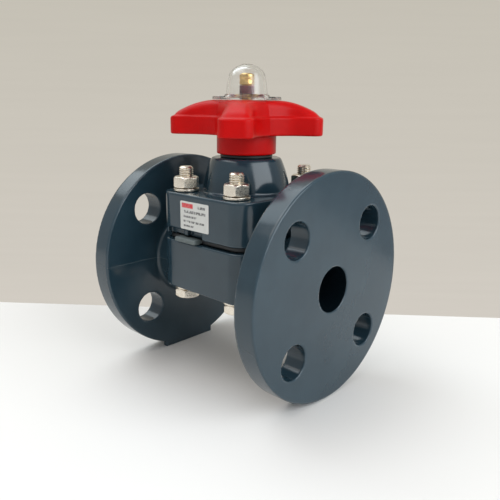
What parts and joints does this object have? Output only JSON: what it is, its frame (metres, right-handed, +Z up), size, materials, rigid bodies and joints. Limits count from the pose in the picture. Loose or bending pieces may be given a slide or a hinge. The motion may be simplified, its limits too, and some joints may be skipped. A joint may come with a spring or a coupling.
{
  "type": "diaphragm valve",
  "caption": "Flanged plastic diaphragm valve with a bolted bonnet, a red cross handwheel and a clear cap over its position indicator.",
  "frame": {"origin": "on the floor, under the centre of the valve, where the stem axis meets the floor", "axes": "+X along the pipe from inlet to outlet, +Y to the back, away from the label, +Z up along the stem"},
  "size_m": [0.13, 0.126, 0.1797],
  "materials": {
    "grey_plastic": "glossy moulded PVC, blue grey",
    "red_plastic": "semi-gloss moulded ABS",
    "clear_plastic": "clear moulded polycarbonate",
    "white_plastic": "machined low-friction plastic",
    "compressor_plastic": "moulded, satin",
    "rubber": "black EPDM rubber, satin",
    "stainless": "turned and rolled stainless steel, slightly warm",
    "brass": "machined brass",
    "band_plastic": "dark red plastic ring",
    "label": "printed white sticker, satin"
  },
  "bodies": {
    "housing": {"valve_body": "grey_plastic", "bonnet": "grey_plastic", "diaphragm": "rubber", "thrust_ring_upper": "white_plastic", "thrust_ring_lower": "white_plastic", "sleeve_retainer": "compressor_plastic", "sleeve_o_ring": "rubber", "dust_seal": "rubber", "name_label": "label", "body_bolt_1": "stainless", "bolt_nut_1": "stainless", "upper_washer_1": "stainless", "lower_washer_1": "stainless", "body_bolt_2": "stainless", "bolt_nut_2": "stainless", "upper_washer_2": "stainless", "lower_washer_2": "stainless", "body_bolt_3": "stainless", "bolt_nut_3": "stainless", "upper_washer_3": "stainless", "lower_washer_3": "stainless", "body_bolt_4": "stainless", "bolt_nut_4": "stainless", "upper_washer_4": "stainless", "lower_washer_4": "stainless"},
    "handwheel_set": {"handwheel": "red_plastic", "handwheel_nut": "brass", "sleeve": "brass", "gauge_cover": "clear_plastic"},
    "stem_set": {"stem": "brass", "compressor": "compressor_plastic", "compressor_pin": "stainless", "indicator_band": "band_plastic", "diaphragm_insert": "stainless"}
  },
  "joints": [
    {"name": "handwheel_turn", "type": "hinge", "parent": "housing", "child": "handwheel_set", "pos_m": [0, 0, 0.14], "axis": [0, 0, 1], "range_deg": [-1260, 0]},
    {"name": "stem_lift", "type": "slide", "parent": "housing", "child": "stem_set", "axis": [0, 0, 1], "range_m": [-0.014, 0], "deforming": ["diaphragm"]}
  ],
  "couplings": [
    {"joint": "stem_lift", "follows": "handwheel_turn", "m_per_rad": 0.000636}
  ]
}
